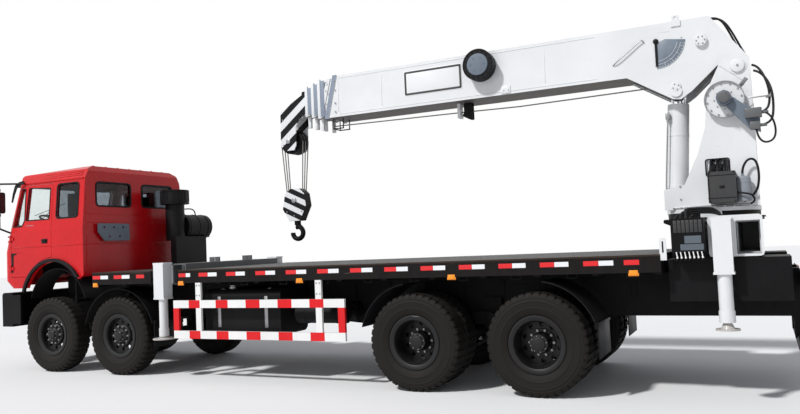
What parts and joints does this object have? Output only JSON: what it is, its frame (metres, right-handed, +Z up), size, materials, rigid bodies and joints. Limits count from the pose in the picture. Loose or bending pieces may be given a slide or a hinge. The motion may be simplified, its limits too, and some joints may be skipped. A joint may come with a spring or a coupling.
{
  "type": "truck-mounted crane",
  "caption": "Flatbed truck with tilting forward cab, twin steered front axles and a telescopic hook crane with outriggers at the rear.",
  "frame": {"origin": "on the ground under the middle of the whole length and width", "axes": "+X to the rear of the truck, +Y to its right, +Z up"},
  "size_m": [11.14, 2.608, 4.05],
  "materials": {
    "frame_black": "satin",
    "deck_brown": "matte",
    "guard_grey": "satin",
    "crane_grey": "satin",
    "plastic_black": "matte",
    "cab_red": "satin",
    "window_glass": "polished",
    "trim_grey": "matte",
    "lamp_clear": "polished",
    "chrome_rod": "polished",
    "hook_yellow": "satin",
    "tyre_black": "matte"
  },
  "bodies": {
    "chassis": {"chassis_frame": "frame_black", "deck": "deck_brown", "bumper": "frame_black", "lamps": "lamp_clear", "guards": "guard_grey", "tanks": "frame_black", "axles": "frame_black", "springs": "frame_black", "driveline": "frame_black", "mudguards": "plastic_black", "intake": "plastic_black", "slew_base": "crane_grey", "front_outrigger_box": "crane_grey", "valve_bank": "crane_grey"},
    "cab": {"cab_shell": "cab_red", "cab_trim": "plastic_black", "cab_glass": "window_glass", "cab_interior": "trim_grey", "mirrors": "plastic_black"},
    "cab_door_left": {"door_left": "cab_red", "door_glass_left": "window_glass"},
    "cab_door_right": {"door_right": "cab_red", "door_glass_right": "window_glass"},
    "crane_column": {"column": "crane_grey", "winch": "frame_black", "column_box": "frame_black"},
    "boom": {"boom_base": "crane_grey", "cable_reel": "frame_black"},
    "lift_cylinder": {"lift_barrel": "crane_grey"},
    "lift_ram": {"lift_rod": "chrome_rod"},
    "section_2": {"boom_section_2": "crane_grey"},
    "section_3": {"boom_section_3": "crane_grey"},
    "section_4": {"boom_section_4": "crane_grey"},
    "section_5": {"boom_head": "crane_grey"},
    "block": {"hook_block": "hook_yellow"},
    "hook_swivel": {"hook": "frame_black"},
    "outrigger_front_left": {"beam_front_left": "crane_grey"},
    "foot_front_left": {"jack_front_left": "crane_grey"},
    "outrigger_front_right": {"beam_front_right": "crane_grey"},
    "foot_front_right": {"jack_front_right": "crane_grey"},
    "outrigger_rear_left": {"beam_rear_left": "crane_grey"},
    "foot_rear_left": {"jack_rear_left": "crane_grey"},
    "outrigger_rear_right": {"beam_rear_right": "crane_grey"},
    "foot_rear_right": {"jack_rear_right": "crane_grey"},
    "knuckle_body_1_left": {"knuckle_1_left": "frame_black"},
    "wheel_body_1_left": {"wheel_1_left": "tyre_black"},
    "knuckle_body_1_right": {"knuckle_1_right": "frame_black"},
    "wheel_body_1_right": {"wheel_1_right": "tyre_black"},
    "knuckle_body_2_left": {"knuckle_2_left": "frame_black"},
    "wheel_body_2_left": {"wheel_2_left": "tyre_black"},
    "knuckle_body_2_right": {"knuckle_2_right": "frame_black"},
    "wheel_body_2_right": {"wheel_2_right": "tyre_black"},
    "twin_3_left": {"wheels_3_left": "tyre_black"},
    "twin_3_right": {"wheels_3_right": "tyre_black"},
    "twin_4_left": {"wheels_4_left": "tyre_black"},
    "twin_4_right": {"wheels_4_right": "tyre_black"}
  },
  "joints": [
    {"name": "cab_tilt", "type": "hinge", "parent": "chassis", "child": "cab", "pos_m": [-5.41, 0, 1.23], "axis": [0, -1, 0], "range_deg": [0, 50]},
    {"name": "door_left_swing", "type": "hinge", "parent": "cab", "child": "cab_door_left", "pos_m": [-5.367, -1.072, 2], "axis": [0, 0, -1], "range_deg": [0, 70]},
    {"name": "door_right_swing", "type": "hinge", "parent": "cab", "child": "cab_door_right", "pos_m": [-5.367, 1.072, 2], "axis": [0, 0, 1], "range_deg": [0, 70]},
    {"name": "slew", "type": "hinge", "parent": "chassis", "child": "crane_column", "pos_m": [4.75, 0, 1.8], "axis": [0, 0, 1], "continuous": true},
    {"name": "luff", "type": "hinge", "parent": "crane_column", "child": "boom", "pos_m": [5.09, 0, 3.39], "axis": [0, 1, 0], "range_deg": [0, 75]},
    {"name": "lift_swing", "type": "hinge", "parent": "crane_column", "child": "lift_cylinder", "pos_m": [4.39, 0, 2.06], "axis": [0, 1, 0], "range_deg": [-0.5, 7.7]},
    {"name": "lift_extend", "type": "slide", "parent": "lift_cylinder", "child": "lift_ram", "axis": [0.0651, 0, 0.9979], "range_m": [-0.005, 0.7745]},
    {"name": "telescope_2", "type": "slide", "parent": "boom", "child": "section_2", "axis": [-1, 0, 0], "range_m": [0, 2.3]},
    {"name": "telescope_3", "type": "slide", "parent": "section_2", "child": "section_3", "axis": [-1, 0, 0], "range_m": [0, 2.3]},
    {"name": "telescope_4", "type": "slide", "parent": "section_3", "child": "section_4", "axis": [-1, 0, 0], "range_m": [0, 2.3]},
    {"name": "telescope_5", "type": "slide", "parent": "section_4", "child": "section_5", "axis": [-1, 0, 0], "range_m": [0, 2.3]},
    {"name": "block_hang", "type": "hinge", "parent": "section_5", "child": "block", "pos_m": [-0.71, 0, 3.19], "axis": [0, -1, 0], "range_deg": [-1, 76]},
    {"name": "hook_turn", "type": "hinge", "parent": "block", "child": "hook_swivel", "pos_m": [-0.71, 0, 2.07], "axis": [0, 0, 1], "continuous": true},
    {"name": "front_left_out", "type": "slide", "parent": "chassis", "child": "outrigger_front_left", "axis": [0, -1, 0], "range_m": [0, 1.2]},
    {"name": "front_left_down", "type": "slide", "parent": "outrigger_front_left", "child": "foot_front_left", "axis": [0, 0, -1], "range_m": [0, 0.525]},
    {"name": "front_right_out", "type": "slide", "parent": "chassis", "child": "outrigger_front_right", "axis": [0, 1, 0], "range_m": [0, 1.2]},
    {"name": "front_right_down", "type": "slide", "parent": "outrigger_front_right", "child": "foot_front_right", "axis": [0, 0, -1], "range_m": [0, 0.525]},
    {"name": "rear_left_out", "type": "slide", "parent": "chassis", "child": "outrigger_rear_left", "axis": [0, -1, 0], "range_m": [0, 1.6]},
    {"name": "rear_left_down", "type": "slide", "parent": "outrigger_rear_left", "child": "foot_rear_left", "axis": [0, 0, -1], "range_m": [0, 0.715]},
    {"name": "rear_right_out", "type": "slide", "parent": "chassis", "child": "outrigger_rear_right", "axis": [0, 1, 0], "range_m": [0, 1.6]},
    {"name": "rear_right_down", "type": "slide", "parent": "outrigger_rear_right", "child": "foot_rear_right", "axis": [0, 0, -1], "range_m": [0, 0.715]},
    {"name": "steer_1_left", "type": "hinge", "parent": "chassis", "child": "knuckle_body_1_left", "pos_m": [-4.43, -0.835, 0.552], "axis": [0, 0, 1], "range_deg": [-35, 35]},
    {"name": "roll_1_left", "type": "hinge", "parent": "knuckle_body_1_left", "child": "wheel_body_1_left", "pos_m": [-4.43, -0.99, 0.552], "axis": [0, 1, 0], "continuous": true},
    {"name": "steer_1_right", "type": "hinge", "parent": "chassis", "child": "knuckle_body_1_right", "pos_m": [-4.43, 0.835, 0.552], "axis": [0, 0, 1], "range_deg": [-35, 35]},
    {"name": "roll_1_right", "type": "hinge", "parent": "knuckle_body_1_right", "child": "wheel_body_1_right", "pos_m": [-4.43, 0.99, 0.552], "axis": [0, 1, 0], "continuous": true},
    {"name": "steer_2_left", "type": "hinge", "parent": "chassis", "child": "knuckle_body_2_left", "pos_m": [-3.06, -0.835, 0.552], "axis": [0, 0, 1], "range_deg": [-35, 35]},
    {"name": "roll_2_left", "type": "hinge", "parent": "knuckle_body_2_left", "child": "wheel_body_2_left", "pos_m": [-3.06, -0.99, 0.552], "axis": [0, 1, 0], "continuous": true},
    {"name": "steer_2_right", "type": "hinge", "parent": "chassis", "child": "knuckle_body_2_right", "pos_m": [-3.06, 0.835, 0.552], "axis": [0, 0, 1], "range_deg": [-35, 35]},
    {"name": "roll_2_right", "type": "hinge", "parent": "knuckle_body_2_right", "child": "wheel_body_2_right", "pos_m": [-3.06, 0.99, 0.552], "axis": [0, 1, 0], "continuous": true},
    {"name": "roll_3_left", "type": "hinge", "parent": "chassis", "child": "twin_3_left", "pos_m": [1.6, -0.927, 0.552], "axis": [0, 1, 0], "continuous": true},
    {"name": "roll_3_right", "type": "hinge", "parent": "chassis", "child": "twin_3_right", "pos_m": [1.6, 0.927, 0.552], "axis": [0, 1, 0], "continuous": true},
    {"name": "roll_4_left", "type": "hinge", "parent": "chassis", "child": "twin_4_left", "pos_m": [3.02, -0.927, 0.552], "axis": [0, 1, 0], "continuous": true},
    {"name": "roll_4_right", "type": "hinge", "parent": "chassis", "child": "twin_4_right", "pos_m": [3.02, 0.927, 0.552], "axis": [0, 1, 0], "continuous": true}
  ],
  "couplings": [
    {"joint": "lift_swing", "follows": "luff", "ratio": 0.09596},
    {"joint": "lift_extend", "follows": "luff", "m_per_rad": 0.58788},
    {"joint": "block_hang", "follows": "luff", "ratio": 1},
    {"joint": "steer_1_right", "follows": "steer_1_left", "ratio": 1},
    {"joint": "steer_2_left", "follows": "steer_1_left", "ratio": 0.8},
    {"joint": "steer_2_right", "follows": "steer_1_left", "ratio": 0.8}
  ]
}
